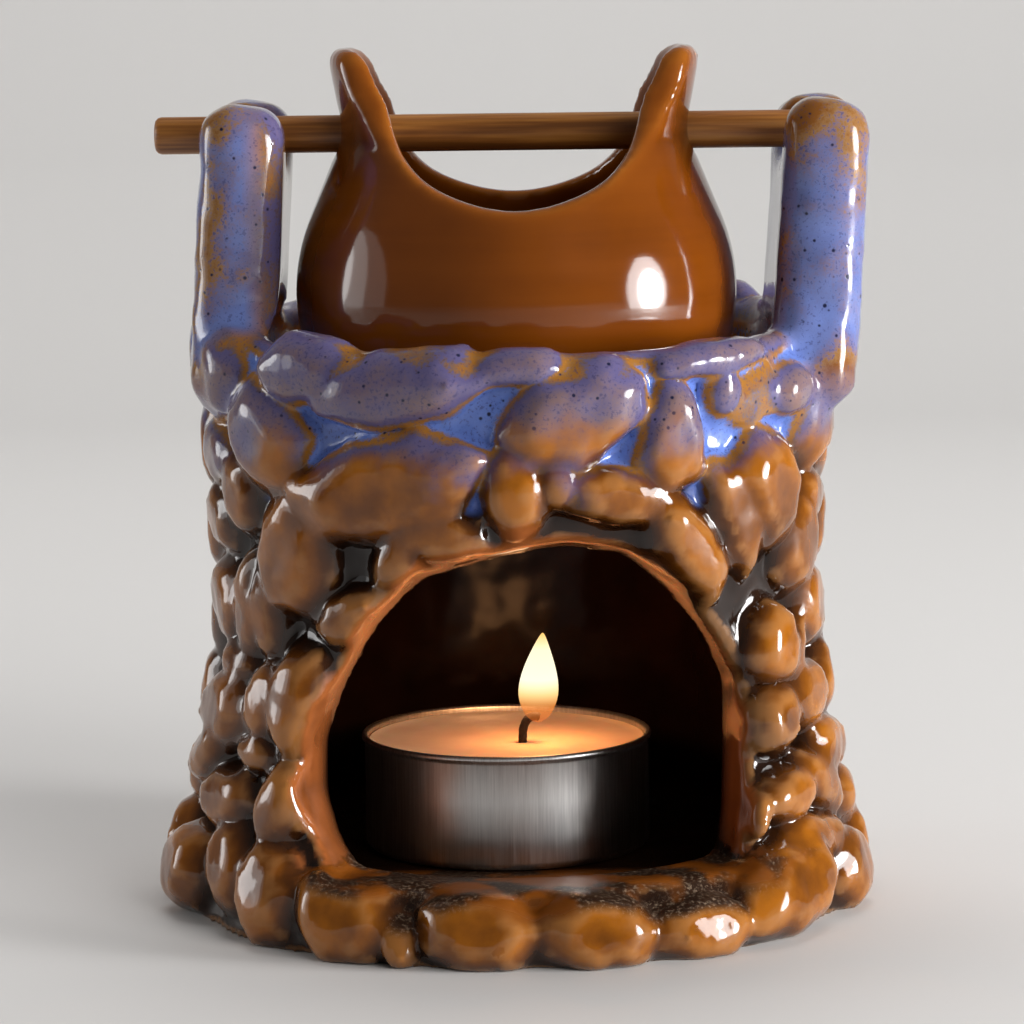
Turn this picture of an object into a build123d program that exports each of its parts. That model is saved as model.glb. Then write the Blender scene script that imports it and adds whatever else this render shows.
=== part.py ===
# Stone-well essential oil burner.
#
# A slip-cast stoneware "wishing well" with a rubble-stone wall stands on the table.
# A tealight burns on its floor, behind a rough arched mouth in the front.
# Two forked posts rise from the rim and carry a wooden rod, and a small eared pot
# of water and oil hangs from the rod over the flame.
#
# Frame: millimetres, +Z up, -Y is the front with the mouth, origin at the centre
# of the flat foot on the table.

import os
from math import cos, radians, sin, tan

from build123d import *

# Well wall: the plain cast wall between the stones, from the table to the rim
foot_radius = 42.6
ankle_radius = 39.4
waist_radius = 35.6
rim_radius = 38.0
ankle_height = 12.0
waist_height = 40.0
rim_height = 75.0
rim_tilt = 1.6
cavity_radius = 31.4
cavity_rim_radius = 34.2
cavity_shoulder_height = 54.0
cavity_corbel_height = 12.0
cavity_corbel_angle = 30.0
floor_height = 6.5
floor_chamfer = 2.4
cut_overrun = 8.0

# One rubble stone: its nominal face, how far it stands off the wall and how deep
# it is bedded in it
stone_face = 13.9
stone_proud = 3.5
stone_bed = 2.4

# Arched mouth through the front wall, opening out towards the viewer
mouth_sill_height = 8.6
mouth_centre_x = 0.65
mouth_inner_depth = 16.0
mouth_outer_depth = 50.0
mouth_inner_half_width = 22.7
mouth_outer_half_width = 36.3
mouth_inner_rise = 35.9
mouth_outer_rise = 49.5

# Outline of the mouth from the left end of its sill to the right end: across as a
# share of the half width, up as a share of the rise
mouth_outline_shares = [
    (-0.80, 0),
    (-0.93, 0.10),
    (-1.04, 0.26),
    (-1.02, 0.43),
    (-0.86, 0.62),
    (-0.68, 0.78),
    (-0.45, 0.91),
    (-0.14, 0.955),
    (0.18, 1.0),
    (0.45, 0.985),
    (0.68, 0.89),
    (0.92, 0.75),
    (1.07, 0.62),
    (1.08, 0.42),
    (1.06, 0.18),
    (1.0, 0),
]

# Forked posts, one at each end of the rod
left_fork_x = -33.9
right_fork_x = 39.9
fork_lean = 3.5
fork_thickness = 10.0
fork_top = 103.8
fork_root = 66.0
fork_waist_height = 79.0
fork_head_width = 30.4
fork_waist_width = 28.6
fork_root_width = 33.0
fork_notch_width = 9.8
fork_head_round = 3.3
fork_horn_round = 3.2
fork_notch_round = 3.1
fork_waist_round = 14.0
fork_edge_bevel = 2.2
fork_root_round = 3.0

# Wooden rod
rod_radius = 2.4
rod_height = 100.0
rod_left_end = -46.0
rod_right_end = 43.2
rod_chamfer = 0.3
rod_seat_gap = 0.3

# Hanging pot: its heights are shares of its height above its foot
pot_x = 0.4
pot_wall = 3.2
pot_floor = 3.6
pot_top = 111.0
pot_height = 54.0
pot_hip_share = 0.104
pot_belly_share = 0.422
pot_shoulder_share = 0.611
pot_foot_radius = 11.0
pot_hip_radius = 22.0
pot_belly_radius = 28.3
pot_shoulder_radius = 26.0
pot_neck_radius = 22.3
pot_tip_radius = 23.7
pot_neck_drop = 1.0
saddle_drop = 20.1
saddle_half_width = 16.9
ear_root_half_width = 24.5
ear_root_drop = 5.7
ear_tip_half_width = 9.6
ear_corner_round = 3.6
ear_tip_bevel = 1.1
ear_hole_gap = 0.4

# Right half of the saddle between the ears, from its lowest point: across as a share
# of its half width, up as a share of its drop from the tips of the ears
saddle_outline_shares = [
    (0.46, 0.08),
    (0.71, 0.20),
    (0.87, 0.38),
    (0.95, 0.60),
    (1.0, 0.85),
    (1.0, 1.2),
]

# Flank of an ear from its root to its tip: across as a share of the half width of its
# root, up as a share of its rise from the root to the tip
ear_flank_shares = [
    (1.0, 0),
    (0.857, 0.066),
    (0.714, 0.186),
    (0.58, 0.341),
    (0.482, 0.533),
    (0.408, 0.72),
]

# Tealight: a pressed aluminium cup, its wax, wick and wick holder
cup_radius = 18.7
cup_height = 15.0
cup_wall = 0.4
cup_bead = 0.4
cup_bead_height = 0.8
cup_base_bevel = 1.1
cup_x = -1.6
cup_seat_gap = 0.1
wax_gap = 0.15
wax_drop = 0.9
wick_x = 0.5
wick_y = -2.6
wick_radius = 0.65
wick_rise = 1.4
wick_bend_radius = 2.6
wick_bend_angle = 62.0
wick_gap = 0.1
holder_radius = 6.0
holder_thickness = 0.3
holder_collar_wall = 0.4
holder_collar_height = 2.4

# Stones of the front and sides. Each row has the azimuth from the front towards +X
# and the lean, in degrees, then the height as a share of the rim height, the width
# and tallness as shares of the stone face, how much the top is wider than the middle
# as a share of the width, and the stand-off as a share of the usual stand-off.
front_stone_shares = [
    # rim course
    (-42, 8, 0.965, 1.15, 0.58, 0, 1.10),
    (-21.5, 5, 0.942, 1.72, 0.66, 0, 1.05),
    (-0.5, 0, 0.976, 1.00, 0.24, 0, 0.75),
    (10.5, 27, 0.896, 1.60, 0.80, 0, 1.08),
    (29.3, 0, 0.858, 0.76, 0.98, -0.32, 1.08),
    (39, 2, 0.977, 1.30, 0.24, 0, 0.75),
    (40.5, 0, 0.920, 0.42, 0.42, 0, 0.85),
    (49.5, 5, 0.912, 0.76, 0.60, 0, 0.55),
    (60.5, 0, 0.912, 0.62, 0.52, 0, 1.10),
    (73, 3, 0.872, 1.10, 1.18, 0, 1.15),
    (92, 0, 0.950, 1.10, 0.98, 0, 1.05),
    (-52, 4, 0.850, 1.08, 1.06, 0, 1.35),
    (-71, 4, 0.945, 1.25, 0.98, 0, 1.15),
    (-92, 0, 0.955, 1.15, 1.00, 0, 1.05),
    # second course
    (-25.5, 18, 0.775, 1.84, 1.02, 0, 1.12),
    (-0.5, 8, 0.775, 0.62, 0.82, -0.10, 1.02),
    (7.2, 0, 0.786, 0.30, 0.40, 0, 0.90),
    (18.5, -4, 0.762, 1.00, 0.54, 0, 0.85),
    (45, 31, 0.706, 0.50, 1.28, 0, 0.90),
    (54, 10, 0.752, 0.94, 1.22, 0.28, 1.22),
    (77, -5, 0.716, 1.00, 0.60, 0, 0.90),
    (93, 0, 0.800, 1.00, 1.05, 0, 0.95),
    (-75, 0, 0.806, 1.10, 0.62, 0, 0.95),
    (-94, 0, 0.800, 1.05, 1.00, 0, 0.95),
    (-63.5, 8, 0.742, 0.78, 0.76, 0, 0.95),
    (-77, -6, 0.690, 1.00, 0.66, 0, 0.95),
    (-14, -16, 0.702, 0.84, 0.50, 0, 0.85),
    (-22.5, -32, 0.665, 0.36, 0.76, 0, 0.80),
    # beside the mouth
    (-46.5, -20, 0.655, 1.12, 1.18, 0, 1.08),
    (-34, 35, 0.555, 0.78, 0.50, 0, 0.85),
    (34, 36, 0.670, 0.60, 1.20, 0, 1.02),
    (67.5, -4, 0.645, 0.80, 1.10, 0, 1.08),
    (77.5, 0, 0.530, 0.98, 0.95, 0, 1.12),
    (57.5, -8, 0.480, 0.64, 0.84, 0, 1.15),
    (65.5, -42, 0.460, 0.36, 0.76, 0, 0.95),
    (-62.5, 0, 0.545, 0.46, 1.30, 0, 1.00),
    (-55.5, 0, 0.545, 0.46, 0.92, 0, 0.95),
    (-76, 3, 0.545, 1.02, 1.00, 0, 1.05),
    (-92, 0, 0.655, 0.92, 1.00, 0, 0.95),
    (93, 0, 0.650, 0.98, 1.05, 0, 1.00),
    # waist
    (-46.5, 0, 0.402, 0.62, 1.12, 0.35, 1.12),
    (-54.8, 0, 0.395, 0.50, 0.78, 0, 0.95),
    (-67, 0, 0.445, 0.74, 0.42, 0, 0.85),
    (-71, 0, 0.360, 1.25, 0.78, 0, 1.20),
    (-92, 0, 0.500, 0.95, 0.94, 0, 1.00),
    (-93, 0, 0.370, 0.95, 0.90, 0, 1.00),
    (68.5, -8, 0.382, 0.92, 0.72, 0, 1.08),
    (56, 10, 0.352, 0.60, 0.72, 0, 1.02),
    (78, -12, 0.275, 1.10, 0.66, 0, 1.15),
    (93, 0, 0.500, 0.95, 0.96, 0, 1.00),
    (90, 0, 0.385, 0.95, 0.84, 0, 1.00),
    # over the foot
    (71, -31, 0.220, 1.50, 0.44, 0, 1.02),
    (57, -5, 0.228, 0.86, 0.54, 0, 1.05),
    (46, 0, 0.203, 0.42, 0.44, 0, 0.80),
    (66, -14, 0.137, 1.40, 0.42, 0, 0.95),
    (91, 0, 0.165, 0.95, 0.70, 0, 1.22),
    (-48, -10, 0.225, 0.66, 0.84, 0, 1.05),
    (-57, 0, 0.306, 0.54, 0.34, 0, 0.85),
    (-66, 8, 0.216, 1.20, 0.54, 0, 1.08),
    (-77, 28, 0.270, 1.20, 0.44, 0, 1.25),
    (-93, 0, 0.225, 0.95, 0.80, 0, 1.10),
    # foot course
    (-77, 0, 0.070, 1.20, 0.86, 0, 1.60),
    (-60.5, 4, 0.112, 0.74, 0.96, 0, 1.10),
    (-47.5, 0, 0.090, 0.86, 0.96, 0, 1.30),
    (-30.5, -6, 0.072, 1.12, 0.92, 0, 1.20),
    (-20, 0, 0.030, 0.30, 0.44, 0, 0.85),
    (-7.3, 0, 0.058, 1.04, 0.80, 0, 1.15),
    (12.5, 0, 0.050, 1.18, 0.70, 0, 1.15),
    (31, -3, 0.040, 0.94, 0.64, 0, 1.10),
    (53, 4, 0.074, 1.60, 0.86, 0, 1.25),
    (77, -4, 0.066, 1.15, 0.80, 0, 1.30),
    (-95, 0, 0.090, 1.00, 0.96, 0, 1.50),
    (96, 0, 0.080, 1.10, 0.92, 0, 1.30),
]

# Courses of the back of the wall: height as a share of the rim height, number of
# stones, and tallness as a share of the stone face
back_course_shares = [
    (0.950, 8, 0.86),
    (0.815, 9, 0.98),
    (0.665, 8, 1.04),
    (0.515, 8, 1.00),
    (0.370, 8, 0.98),
    (0.230, 9, 0.92),
    (0.085, 8, 1.00),
]
back_first_azimuth = 101.0
back_last_azimuth = 259.0
back_lean = 9.0
back_shift_share = 0.12
back_size_share = 0.13
back_lap_share = 0.08

# The plain wall has flat sides behind the stones. A stone's outline has unequal
# corners. Its face is smaller than its outline, which stands a share of its
# stand-off clear of the wall.
wall_sides = 26
stone_corners = 7
stone_uneven_share = 0.12
stone_brow_share = 0.36
stone_face_share = 0.62


def wall_stretch(height):
    """Lower and upper end of the stretch of plain wall at a height, as (radius, height)."""
    ends = [(foot_radius, 0), (ankle_radius, ankle_height), (waist_radius, waist_height)]
    ends.append((rim_radius, rim_height))
    stretch = sum(height > end[1] for end in ends[1:-1])
    return ends[stretch], ends[stretch + 1]


def wall_radius(height):
    """Outer radius of the plain wall between the stones."""
    low, high = wall_stretch(height)
    return low[0] + (high[0] - low[0]) * (height - low[1]) / (high[1] - low[1])


def wall_ring(height):
    """Corners of the plain wall at a height."""
    turns = [radians(360 * side / wall_sides) for side in range(wall_sides)]
    radius = wall_radius(height)
    return [Vector(radius * sin(turn), -radius * cos(turn), height) for turn in turns]


def wall_drum(low, high):
    """Solid stretch of the plain wall between two heights."""
    return ConvexPolyhedron(wall_ring(low) + wall_ring(high), mode=Mode.PRIVATE)


def rubble_stone(azimuth, lean, height, width, tallness, flare_share, proud, character):
    """One stone, bedded in the wall and square to it."""
    low, high = wall_stretch(height)
    slope = (high[0] - low[0]) / (high[1] - low[1])
    outward = Vector(sin(radians(azimuth)), -cos(radians(azimuth)), -slope)
    across = Vector(cos(radians(azimuth)), sin(radians(azimuth)), 0)
    radius = wall_radius(height)
    seat = Vector(radius * sin(radians(azimuth)), -radius * cos(radians(azimuth)), height)
    leaning = across.rotate(Axis((0, 0, 0), outward), lean)
    bed = Plane(origin=seat, x_dir=leaning, z_dir=outward)
    corners = []
    for depth, size in [(-stone_bed, 1), (proud * stone_brow_share, 1), (proud, stone_face_share)]:
        for corner in range(stone_corners):
            turn = radians(360 * corner / stone_corners)
            reach = size / 2 * (1 + stone_uneven_share * sin(2.3 * character + 1.9 * corner))
            half_width = width * (1 + flare_share * sin(turn))
            point = bed.from_local_coords(
                Vector(half_width * reach * cos(turn), tallness * reach * sin(turn), depth)
            )
            corners.append(Vector(point.X, point.Y, max(point.Z, 0)))
    return ConvexPolyhedron(corners, mode=Mode.PRIVATE)


def rubble():
    """All the stones of the wall."""
    stones = []
    for azimuth, lean, height, width, tallness, flare_share, proud in front_stone_shares:
        stones.append(
            rubble_stone(
                azimuth,
                lean,
                height * rim_height,
                width * stone_face,
                tallness * stone_face,
                flare_share,
                proud * stone_proud,
                azimuth + lean,
            )
        )
    for course, (height, count, tallness) in enumerate(back_course_shares):
        pitch = (back_last_azimuth - back_first_azimuth) / count
        face = wall_radius(height * rim_height) * radians(pitch) * (1 + back_lap_share)
        for place in range(count):
            drift = sin(3.1 * place + 1.7 * course)
            growth = sin(2.1 * place + 4.3 * course)
            stones.append(
                rubble_stone(
                    back_first_azimuth + pitch * (place + 0.5 + back_shift_share * drift),
                    back_lean * growth,
                    height * rim_height + back_shift_share * growth * tallness * stone_face,
                    face * (1 + back_size_share * drift),
                    tallness * stone_face * (1 + back_size_share * growth),
                    0,
                    stone_proud * (1 + back_size_share * drift),
                    place + course,
                )
            )
    return stones


def mouth_ring(depth, half_width, rise):
    """Corners of the mouth's outline at one depth."""
    return [
        Vector(mouth_centre_x + across * half_width, -depth, mouth_sill_height + up * rise)
        for across, up in mouth_outline_shares
    ]


# Fork of one post, with the rod's axis through its notch
with BuildPart() as fork:
    with BuildSketch(Plane.YZ):
        with BuildLine():
            half_outline = FilletPolyline(
                (0, fork_root - rod_height),
                (fork_root_width / 2, fork_root - rod_height),
                (fork_waist_width / 2, fork_waist_height - rod_height),
                (fork_head_width / 2, 0),
                (fork_head_width / 2, fork_top - rod_height),
                (fork_notch_width / 2, fork_top - rod_height),
                (fork_notch_width / 2, -rod_radius - rod_seat_gap),
                (0, -rod_radius - rod_seat_gap),
                radius=[
                    fork_root_round,
                    fork_waist_round,
                    fork_waist_round,
                    fork_head_round,
                    fork_horn_round,
                    fork_notch_round,
                ],
            )
            mirror(half_outline, about=Plane.YZ)
        make_face()
    extrude(amount=fork_thickness / 2, both=True)
    chamfer(fork.faces().sort_by(Axis.X)[0].edges(), length=fork_edge_bevel)
    chamfer(fork.faces().sort_by(Axis.X)[-1].edges(), length=fork_edge_bevel)

# Everything that is hollow in the well: the round cavity with its flat floor, drawn
# in again under the posts, and the mouth, which grows from its inner plane outwards
with BuildPart() as hollow:
    corbel_top = rim_height + cavity_corbel_height
    corbel_radius = cavity_rim_radius - cavity_corbel_height * tan(radians(cavity_corbel_angle))
    with BuildSketch(Plane.XZ) as cavity:
        with BuildLine():
            Polyline(
                (0, floor_height),
                (cavity_radius, floor_height),
                (cavity_radius, cavity_shoulder_height),
                (cavity_rim_radius, rim_height),
                (corbel_radius, corbel_top),
                (0, corbel_top),
                close=True,
            )
        make_face()
        chamfer(cavity.vertices().group_by(Axis.Y)[0].sort_by(Axis.X)[-1], length=floor_chamfer)
    revolve()
    ConvexPolyhedron(
        mouth_ring(mouth_inner_depth, mouth_inner_half_width, mouth_inner_rise)
        + mouth_ring(mouth_outer_depth, mouth_outer_half_width, mouth_outer_rise)
    )

with BuildPart() as well_body:
    # plain wall, sloping up to the back at the rim
    add([wall_drum(0, ankle_height), wall_drum(ankle_height, waist_height)])
    add(wall_drum(waist_height, rim_height + cut_overrun))
    rim_plane = Plane(origin=(0, 0, rim_height)).rotated((rim_tilt, 0, 0))
    split(bisect_by=rim_plane, keep=Keep.BOTTOM)
    # stones, and the posts that lean alike
    forks = [
        Location((fork_x, 0, rod_height), (0, fork_lean, 0)) * fork.part
        for fork_x in (left_fork_x, right_fork_x)
    ]
    add(rubble() + forks)
    add(hollow.part, mode=Mode.SUBTRACT)

with BuildPart() as hanging_rod:
    with BuildSketch(Plane.YZ.offset(rod_left_end)):
        with Locations((0, rod_height)):
            Circle(rod_radius)
    extrude(amount=rod_right_end - rod_left_end)
    chamfer(hanging_rod.edges().filter_by(GeomType.CIRCLE), length=rod_chamfer)

pot_foot_height = pot_top - pot_height
pot_hip_height = pot_foot_height + pot_hip_share * pot_height
pot_belly_height = pot_foot_height + pot_belly_share * pot_height
pot_shoulder_height = pot_foot_height + pot_shoulder_share * pot_height
pot_neck_height = rod_height - pot_neck_drop
ear_root_height = rod_height - ear_root_drop
saddle_height = pot_top - saddle_drop

with BuildPart() as oil_pot:
    with BuildSketch(Plane.XZ):
        with BuildLine():
            belly = ThreePointArc(
                (pot_hip_radius, pot_hip_height),
                (pot_belly_radius, pot_belly_height),
                (pot_shoulder_radius, pot_shoulder_height),
            )
            Polyline(
                belly @ 1,
                (pot_neck_radius, pot_neck_height),
                (pot_neck_radius, rod_height + rod_radius),
                (pot_tip_radius, pot_top - ear_tip_bevel),
                (pot_tip_radius - ear_tip_bevel, pot_top),
                (pot_tip_radius - pot_wall + ear_tip_bevel, pot_top),
                (pot_tip_radius - pot_wall, pot_top - ear_tip_bevel),
                (pot_neck_radius - pot_wall, rod_height + rod_radius),
                (pot_neck_radius - pot_wall, pot_neck_height),
                (pot_shoulder_radius - pot_wall, pot_shoulder_height),
                (pot_belly_radius - pot_wall, pot_belly_height),
                (pot_hip_radius, (pot_hip_height + pot_belly_height) / 2),
                (pot_foot_radius, pot_foot_height + pot_floor),
                (0, pot_foot_height + pot_floor),
                (0, pot_foot_height),
                (pot_foot_radius, pot_foot_height),
                belly @ 0,
            )
        make_face()
    revolve()
    # front and back of the neck are cut down to a saddle
    with BuildSketch(Plane.XZ):
        with BuildLine():
            right_side = [
                (across * saddle_half_width, saddle_height + up * saddle_drop)
                for across, up in saddle_outline_shares
            ]
            left_side = [(-across, height) for across, height in reversed(right_side)]
            saddle = Spline(left_side + [(0, saddle_height)] + right_side)
            Line(saddle @ 1, saddle @ 0)
        make_face()
    extrude(amount=pot_belly_radius + cut_overrun, both=True, mode=Mode.SUBTRACT)
    # sides of the two ears
    with BuildSketch(Plane.YZ) as ear_cut:
        with BuildLine():
            flank_points = [
                (across * ear_root_half_width, ear_root_height + up * (pot_top - ear_root_height))
                for across, up in ear_flank_shares
            ]
            flank = Spline(flank_points + [(ear_tip_half_width, pot_top - ear_corner_round)])
            Polyline(
                flank @ 0,
                (pot_belly_radius + cut_overrun, ear_root_height),
                (pot_belly_radius + cut_overrun, pot_top + cut_overrun),
                (0, pot_top + cut_overrun),
                (0, pot_top),
                (ear_tip_half_width - ear_corner_round, pot_top),
            )
            RadiusArc(
                (ear_tip_half_width - ear_corner_round, pot_top),
                (ear_tip_half_width, pot_top - ear_corner_round),
                ear_corner_round,
            )
        make_face()
        mirror(about=Plane.YZ)
    extrude(amount=pot_belly_radius + cut_overrun, both=True, mode=Mode.SUBTRACT)
    # holes for the rod
    with BuildSketch(Plane.YZ):
        with Locations((0, rod_height)):
            Circle(rod_radius + ear_hole_gap)
    extrude(amount=pot_belly_radius + cut_overrun, both=True, mode=Mode.SUBTRACT)
oil_pot.part.position = (pot_x, 0, 0)

# The tealight stands on the cavity's floor
cup_bottom = floor_height + cup_seat_gap
cup_plane = Plane(origin=(cup_x, 0, cup_bottom), x_dir=(1, 0, 0), z_dir=(0, -1, 0))
cup_axis = Axis((cup_x, 0, 0), (0, 0, 1))
wax_top = cup_height - wax_drop
wick_foot = cup_wall + holder_thickness

with BuildPart() as tealight_cup:
    with BuildSketch(cup_plane):
        with BuildLine():
            Polyline(
                (0, 0),
                (cup_radius - cup_base_bevel, 0),
                (cup_radius, cup_base_bevel),
                (cup_radius, cup_height - cup_bead_height),
                (cup_radius + cup_bead, cup_height - cup_bead_height),
                (cup_radius + cup_bead, cup_height),
                (cup_radius - cup_wall, cup_height),
                (cup_radius - cup_wall, cup_base_bevel),
                (cup_radius - cup_base_bevel, cup_wall),
                (0, cup_wall),
                close=True,
            )
        make_face()
    revolve(axis=cup_axis)

with BuildPart() as wick_holder:
    with BuildSketch(Plane.XY.offset(cup_bottom + cup_wall)):
        with Locations((wick_x, wick_y)):
            Circle(holder_radius)
    extrude(amount=holder_thickness)
    with BuildSketch(Plane.XY.offset(cup_bottom + wick_foot)):
        with Locations((wick_x, wick_y)):
            Circle(wick_radius + wick_gap + holder_collar_wall)
            Circle(wick_radius + wick_gap, mode=Mode.SUBTRACT)
    extrude(amount=holder_collar_height)

with BuildPart() as tealight_wick:
    with BuildLine() as wick_line:
        wick_plane = Plane(origin=(wick_x, wick_y, 0), x_dir=(1, 0, 0), z_dir=(0, -1, 0))
        with BuildLine(wick_plane):
            stem = Line((0, cup_bottom + wick_foot), (0, cup_bottom + wax_top + wick_rise))
            JernArc(stem @ 1, stem % 1, wick_bend_radius, -wick_bend_angle)
    with BuildSketch(Plane.XY.offset(cup_bottom + wick_foot)):
        with Locations((wick_x, wick_y)):
            Circle(wick_radius)
    sweep(path=wick_line.wires()[0])

with BuildPart() as tealight_wax:
    with BuildSketch(cup_plane):
        with BuildLine():
            Polyline(
                (0, cup_wall),
                (cup_radius - cup_base_bevel - wax_gap, cup_wall),
                (cup_radius - cup_wall - wax_gap, cup_base_bevel + wax_gap),
                (cup_radius - cup_wall - wax_gap, wax_top),
                (0, wax_top),
                close=True,
            )
        make_face()
    revolve(axis=cup_axis)
    # room for the wick holder and the wick
    for radius, height in [
        (holder_radius + wick_gap, wick_foot + wick_gap),
        (wick_radius + 2 * wick_gap + holder_collar_wall, wick_foot + holder_collar_height + wick_gap),
        (wick_radius + wick_gap, cup_height),
    ]:
        with BuildSketch(Plane.XY.offset(cup_bottom)):
            with Locations((wick_x, wick_y)):
                Circle(radius)
        extrude(amount=height, mode=Mode.SUBTRACT)

os.makedirs("parts", exist_ok=True)
for piece, name in [
    (well_body, "well_body"),
    (hanging_rod, "hanging_rod"),
    (oil_pot, "oil_pot"),
    (tealight_cup, "tealight_cup"),
    (wick_holder, "wick_holder"),
    (tealight_wick, "tealight_wick"),
    (tealight_wax, "tealight_wax"),
]:
    piece.part.label = name
    export_step(piece.part, f"parts/{name}.step")
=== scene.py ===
from math import cos, radians, sin

import bmesh
import bpy
import numpy as np
from mathutils import Matrix, Vector


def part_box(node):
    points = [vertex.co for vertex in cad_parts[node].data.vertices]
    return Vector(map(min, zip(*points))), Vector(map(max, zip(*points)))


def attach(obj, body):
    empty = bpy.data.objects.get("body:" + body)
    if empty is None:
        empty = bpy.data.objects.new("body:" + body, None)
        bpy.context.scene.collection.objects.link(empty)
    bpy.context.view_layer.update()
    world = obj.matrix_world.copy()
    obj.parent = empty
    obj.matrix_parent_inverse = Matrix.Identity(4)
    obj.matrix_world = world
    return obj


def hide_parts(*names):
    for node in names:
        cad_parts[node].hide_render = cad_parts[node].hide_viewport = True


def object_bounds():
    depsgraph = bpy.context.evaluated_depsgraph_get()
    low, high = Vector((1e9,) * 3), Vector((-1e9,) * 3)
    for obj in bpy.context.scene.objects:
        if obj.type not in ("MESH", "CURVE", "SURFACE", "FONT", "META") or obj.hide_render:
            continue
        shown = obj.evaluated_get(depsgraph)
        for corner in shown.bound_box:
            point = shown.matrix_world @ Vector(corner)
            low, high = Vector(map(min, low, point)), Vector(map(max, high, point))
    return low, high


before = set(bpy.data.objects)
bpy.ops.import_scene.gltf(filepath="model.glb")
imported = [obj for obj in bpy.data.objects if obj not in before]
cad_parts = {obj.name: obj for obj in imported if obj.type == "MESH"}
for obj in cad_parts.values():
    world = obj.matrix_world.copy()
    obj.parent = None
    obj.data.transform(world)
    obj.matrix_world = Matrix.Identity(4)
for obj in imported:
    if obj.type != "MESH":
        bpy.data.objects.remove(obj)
cad_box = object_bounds()

MM = 0.001  # the sizes and places of all pieces are in millimetres

# Camera
# A long lens on a tripod half a metre in front of the burner, a little above the posts
# and looking slightly down. The picture is turned by less than a degree.
CAMERA_PLACE = (-0.52, -517.65, 120.26)
CAMERA_PITCH = 7.679
CAMERA_ROLL = 0.7
SENSOR_WIDTH = 36.0
FOCAL_LENGTH = 140.47
camera_data = bpy.data.cameras.new("photo_camera")
camera_data.sensor_width = SENSOR_WIDTH
camera_data.lens = FOCAL_LENGTH
camera_data.clip_start = 0.05
camera_data.clip_end = 20.0
camera = bpy.data.objects.new("photo_camera", camera_data)
bpy.context.scene.collection.objects.link(camera)
look_down = Matrix.Rotation(radians(90 - CAMERA_PITCH), 4, "X")
picture_turn = Matrix.Rotation(radians(-CAMERA_ROLL), 4, "Z")
camera.matrix_world = Matrix.Translation(Vector(CAMERA_PLACE) * MM) @ look_down @ picture_turn
bpy.context.scene.camera = camera


# Floor and backdrop
# A plain pale sheet of paper that lies under the burner and sweeps up behind it.
# It is part of the studio and not of the burner. Its sizes are in metres.
def linear(hex_colour):
    """Linear colour of an sRGB hex value."""
    channels = [int(hex_colour[place:place + 2], 16) / 255 for place in (1, 3, 5)]
    return [c / 12.92 if c <= 0.04045 else ((c + 0.055) / 1.055) ** 2.4 for c in channels] + [1.0]


def add_node(material, kind, links=None, output=0, stops=(), **settings):
    """Adds a node with its settings, the sources of its sockets and a ramp's stops."""
    node = material.node_tree.nodes.new("ShaderNode" + kind)
    for name, value in settings.items():
        setattr(node, name, value)
    for place, (position, hex_colour) in enumerate(stops):
        ramp = node.color_ramp.elements
        stop = ramp[place] if place < 2 else ramp.new(position)
        stop.position = position
        stop.color = linear(hex_colour)
    for socket, source in (links or {}).items():
        if isinstance(source, bpy.types.NodeSocket):
            material.node_tree.links.new(source, node.inputs[socket])
        else:
            node.inputs[socket].default_value = source
    return node.outputs[output] if node.outputs else node


def new_material(name):
    """Material with no nodes yet."""
    material = bpy.data.materials.new(name)
    material.use_nodes = True
    material.node_tree.nodes.clear()
    return material


def deselect():
    """Leaves object mode with nothing selected."""
    if bpy.context.object and bpy.context.object.mode != "OBJECT":
        bpy.ops.object.mode_set(mode="OBJECT")
    bpy.ops.object.select_all(action="DESELECT")


PAPER_SIZE = 4.0
PAPER_MIDDLE = (0, -1.45, 0)
SWEEP_STEPS = ((0.22, 0.06), (0.16, 0.14), (0.11, 0.3), (0.02, 3.0))  # run back, rise
deselect()
bpy.ops.mesh.primitive_plane_add(size=PAPER_SIZE, location=PAPER_MIDDLE)
floor = bpy.context.object
floor.name = "studio_sweep"
bpy.ops.object.mode_set(mode="EDIT")
bpy.ops.mesh.select_mode(type="EDGE")
bpy.ops.mesh.select_all(action="DESELECT")
sheet = bmesh.from_edit_mesh(floor.data)
for edge in sheet.edges:
    edge.select = all(corner.co.y > 0 for corner in edge.verts)
bmesh.update_edit_mesh(floor.data)
for run_back, rise in SWEEP_STEPS:
    bpy.ops.mesh.extrude_region_move(TRANSFORM_OT_translate={"value": (0, run_back, rise)})
bpy.ops.object.mode_set(mode="OBJECT")
bpy.ops.object.shade_smooth()
paper = new_material("seamless_paper")
paper_coat = add_node(paper, "BsdfPrincipled", {"Base Color": linear("#D2D0CE"), "Roughness": 0.6})
add_node(paper, "OutputMaterial", {"Surface": paper_coat})
floor.data.materials.append(paper)

# Lights
# Round softboxes stand level with the pot in front of wider screens, bright at the right
# and dim at the left. A sheet of light overhead and a fill behind the camera only brighten
# the burner, and the glaze doesn't mirror them. Places are angles in degrees, and metres.
soft_lights = [
    # name, azimuth from the front to +X, elevation, distance, width, height, power, mirrored
    ("right_softbox", 72, 3, 0.75, 0.20, 0.25, 5.0, True),
    ("right_screen", 70, 3, 0.78, 0.34, 0.42, 5.0, True),
    ("left_softbox", -104, 8, 0.80, 0.26, 0.34, 0.9, True),
    ("left_screen", -100, 6, 0.84, 0.50, 0.58, 1.1, True),
    ("left_wall", -94, 4, 0.95, 0.84, 0.80, 1.1, True),
    ("overhead_sheet", 180, 66, 0.90, 0.80, 0.60, 5.0, False),
    ("front_fill", 36, 26, 1.60, 0.90, 0.90, 12.0, False),
]
LAMP_AIM = Vector((0, 0, 60))
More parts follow.
